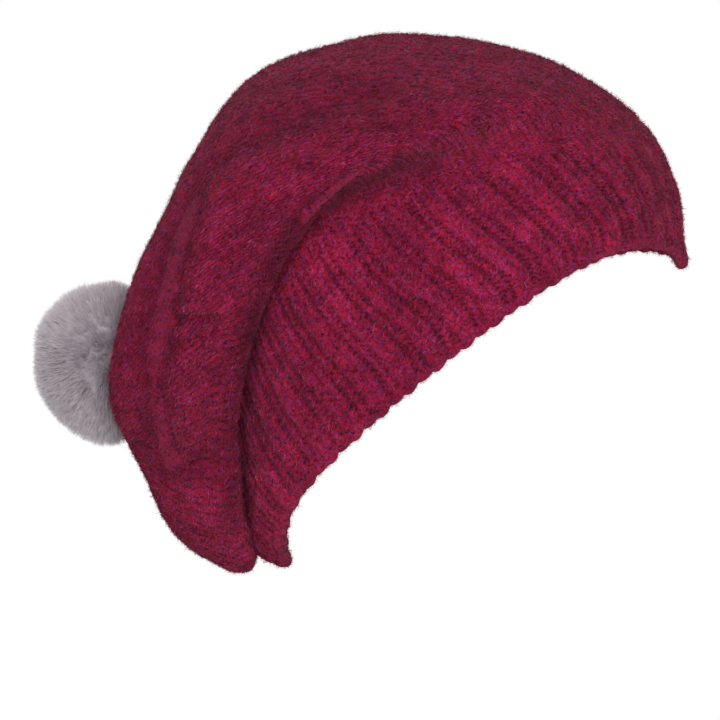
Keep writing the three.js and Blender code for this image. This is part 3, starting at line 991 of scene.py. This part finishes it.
def small_pieces():
    yarn = plain_material("gather_wool", rgb(112, 22, 58), 900, 0.0004, 0.95)
    thread = plain_material("dark_thread", rgb(76, 16, 40), 1500, 0.0002, 0.8)
    felt = plain_material("wine_felt", rgb(90, 20, 48), 1400, 0.0004, 0.97, Sheen_Weight=0.3)
    twisted_ring("gather_yarn_twist", YARN_R, 0.9 * MM, YARN_X, yarn, "hat",
                 "gather_yarn")
    twisted_ring("drawstring_twist", DRAW_R, 0.8 * MM, DRAW_X, thread, "pom_pom",
                 "pom_drawstring")
    wound_thread("socket_stitches", SOCKET_THREAD_R, 0.30 * MM, *SOCKET_THREAD_X, thread, "hat",
                 "sewing_thread", "socket_thread", 7)
    wound_thread("shank_winding", SHANK_R, 0.26 * MM, *SHANK_X, thread, "shank",
                 "sewing_thread", "pom_shank_thread", 7, 6)
    turned_skin("felt_patch", rounded(PATCH_R, *PATCH_X, PATCH_EDGE), 96, felt_fuzz,
                felt, "hat", "inner_patch")
    plastic = plain_material("stud_moulding", rgb(58, 58, 61), 500, 0.00008, 0.35, 0.06)
    for node in ("snap_socket", "snap_stud"):
        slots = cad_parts[node].material_slots
        for k in slots:
            k.material = plastic
    pelt_and_stuffing()
    label()


def ball_profile(radius, start, stop, steps):
    a = np.linspace(start, stop, steps)
    return np.stack([np.maximum(radius * np.sin(a), 0.0), BALL.x - radius * np.cos(a)], -1)


def pelt_and_stuffing():
    suede = plain_material("pelt_suede", rgb(126, 118, 124), 420, 0.0003, 0.9)
    outer, inner, neck = 14.3 * MM, 13.1 * MM, 4.6 * MM
    out = ball_profile(outer, 0.02, math.pi - math.asin(neck / outer), 40)
    back = ball_profile(inner, math.pi - math.asin(neck / inner), 0.02, 40)

    def gathers(r, x, a):
        """Pleats that deepen towards the drawn neck."""
        near = smooth(x, BALL.x + 2 * MM, BALL.x + outer)
        return -0.7 * MM * near * (0.5 + 0.5 * np.cos(14 * a)) * smooth(r, 2 * MM, 6 * MM)

    ob = turned_skin("pelt_bag", np.vstack([out, back]), 168, gathers, suede, "pom_pom",
                     "pom_pelt")
    fluff = plain_material("fibre_ball", rgb(226, 223, 217), 600, 0.0006, 1.0)
    rows, cols = 60, 120
    d = ball_directions(rows, cols)
    lump = (0.35 * waves(d * 12 * MM, 5 * MM, 63) + 0.15 * waves(d * 12 * MM, 1.6 * MM, 64)) * MM
    co = np.array(BALL) + d * (11.9 * MM + lump)[..., None]
    faces = grid_quads(rows, cols).tolist() + [list(range(cols))[::-1],
                                               list(range((rows - 1) * cols, rows * cols))]
    ob = joined("stuffing_ball", [(co.reshape(-1, 3), faces)], fluff, "pom_pom")
    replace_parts(ob, "pom_stuffing")


# Blank label: width, height, thickness, [x, z] of its sewn top edge and its lean in degrees.
LABEL_WIDE, LABEL_TALL, LABEL_THICK = 24 * MM, 26 * MM, 0.45 * MM
LABEL_TOP, LABEL_LEAN = (-93.2 * MM, -20.5 * MM), math.radians(21)
STITCHES, STITCH_GAP = 11, 2.05 * MM


def label_point(across, down, out):
    """A point of the label: across it, down from its sewn edge, and out from its middle."""
    c, sn = math.cos(LABEL_LEAN), math.sin(LABEL_LEAN)
    x = LABEL_TOP[0] + out * c + down * sn
    return np.stack([x, across, LABEL_TOP[1] - down * c + out * sn], -1)


def label():
    """A thin woven tab that bows a little, and the stitches over its top edge."""
    satin = Nodes("label_satin")
    weave = satin.add("ShaderNodeTexWave", wave_type="BANDS", bands_direction="Z")
    weave.inputs["Scale"].default_value = 900
    satin.link(satin.place, weave.inputs["Vector"])
    satin.set(Base_Color=satin.ramp(satin.noise(300, 2), [(0.3, rgb(226, 222, 212)),
                                                          (0.7, rgb(240, 237, 230))]),
              Roughness=0.45, Sheen_Weight=0.2)
    satin.bump(weave.outputs["Fac"], 0.35, 0.0001)
    wide, tall = 49, 53
    a = np.linspace(-0.5, 0.5, wide)[None, :]
    b = np.linspace(0, 1, tall)[:, None]
    bow = 0.22 * MM * np.sin(math.pi * b) * (1 - 4 * a * a)
    sheets = []
    for side in (1, -1):
        sheets.append(label_point(a * LABEL_WIDE + 0 * b, b * LABEL_TALL + 0 * a,
                                  bow + side * LABEL_THICK / 2))
    n = wide * tall
    r, c = np.arange(tall - 1)[:, None], np.arange(wide - 1)[None, :]
    front = np.stack([r * wide + c, r * wide + c + 1, (r + 1) * wide + c + 1, (r + 1) * wide + c],
                     -1).reshape(-1, 4)
    faces = front.tolist() + (front[:, ::-1] + n).tolist()
    edge = ([*range(wide)] + [wide * k + wide - 1 for k in range(1, tall)]
            + [n - 2 - k for k in range(wide - 1)] + [wide * k for k in range(tall - 2, 0, -1)])
    for i, j in zip(edge, edge[1:] + edge[:1]):
        faces.append([j, i, i + n, j + n])
    co = np.concatenate([x.reshape(-1, 3) for x in sheets])
    ob = joined("blank_label", [(co, faces)], satin.mat, "label")
    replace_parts(ob, "care_label")
    thread = plain_material("label_thread", rgb(86, 18, 46), 1500, 0.0002, 0.8)
    parts = []
    t = np.linspace(-1, 1, 7)
    for k in range(STITCHES):
        y = (k - (STITCHES - 1) / 2) * STITCH_GAP
        path = label_point(y + 0.75 * MM * t, -1.1 * MM - 0.25 * MM * t, 0.22 * MM * (1 - t * t))
        parts.append(closed_tube(path, 0.28 * MM))
    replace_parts(joined("label_stitches", parts, thread, "hat"), "label_stitching")


studio()
ground = build_hat()
cast_on(ground)
hat_fuzz(ground)
build_pom()
small_pieces()
